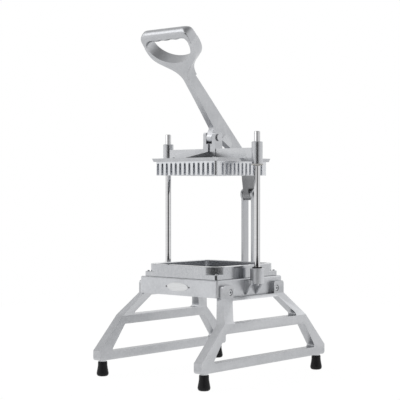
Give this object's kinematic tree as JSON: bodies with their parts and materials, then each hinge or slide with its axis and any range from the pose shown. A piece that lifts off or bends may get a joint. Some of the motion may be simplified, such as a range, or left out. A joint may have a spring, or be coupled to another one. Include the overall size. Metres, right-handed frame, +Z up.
{
  "type": "vegetable cutting machine",
  "caption": "Hand-operated vegetable cutter: a lever with a D-shaped grip drives a finger block down two guide rods through a square grid of crossed blades, on splayed legs.",
  "frame": {"origin": "on the surface it stands on, under the middle of the four feet", "axes": "+Z up along the guide rods, +Y to the rear where the link is, +X to the machine's side that is on the right seen from the front"},
  "size_m": [0.3062, 0.406, 0.7237],
  "materials": {
    "cast_aluminium": "satin tumbled casting",
    "polished_rod": "polished",
    "bright_steel": "satin",
    "brushed_strap": "brushed",
    "blade_steel": "ground",
    "black_rubber": "smooth",
    "bush_plastic": "moulded"
  },
  "bodies": {
    "base": {"base_frame": "cast_aluminium", "left_leg_frame": "cast_aluminium", "right_leg_frame": "cast_aluminium", "leg_frame_bolts": "bright_steel", "leg_frame_nuts": "bright_steel", "foot_front_left": "black_rubber", "foot_front_right": "black_rubber", "foot_rear_left": "black_rubber", "foot_rear_right": "black_rubber", "foot_studs": "bright_steel", "left_guide_rod": "polished_rod", "right_guide_rod": "polished_rod", "left_rod_bumper": "black_rubber", "right_rod_bumper": "black_rubber", "rod_retaining_screws": "bright_steel", "feed_collar": "cast_aluminium", "blade_frame": "brushed_strap", "upper_blades": "blade_steel", "lower_blades": "blade_steel", "collar_screws": "bright_steel", "link_foot_pin": "bright_steel", "link_foot_clip": "bright_steel"},
    "pusher": {"pusher_yoke": "cast_aluminium", "finger_block": "cast_aluminium", "finger_block_screws": "bright_steel", "left_slide_bushing": "bush_plastic", "right_slide_bushing": "bush_plastic", "handle_pivot_pin": "bright_steel", "handle_pivot_clip": "bright_steel"},
    "lever": {"handle": "cast_aluminium", "handle_pivot_bush": "bush_plastic", "tail_bush": "bush_plastic"},
    "link": {"left_link_bar": "brushed_strap", "right_link_bar": "brushed_strap", "link_foot_bushes": "bush_plastic", "link_top_bolts": "bright_steel"}
  },
  "joints": [
    {"name": "pusher_slide", "type": "slide", "parent": "base", "child": "pusher", "axis": [0, 0, -1], "range_m": [0, 0.2095]},
    {"name": "handle_pivot", "type": "hinge", "parent": "pusher", "child": "lever", "pos_m": [0, 0.0047, 0.5], "axis": [1, 0, 0], "range_deg": [0, 73.9]},
    {"name": "link_swing", "type": "hinge", "parent": "base", "child": "link", "pos_m": [0, 0.13, 0.19], "axis": [1, 0, 0], "range_deg": [-7.9, 0]}
  ],
  "couplings": [
    {"joint": "handle_pivot", "follows": "pusher_slide", "rad_per_m": 6.1536},
    {"joint": "link_swing", "follows": "pusher_slide", "rad_per_m": -0.6525}
  ]
}
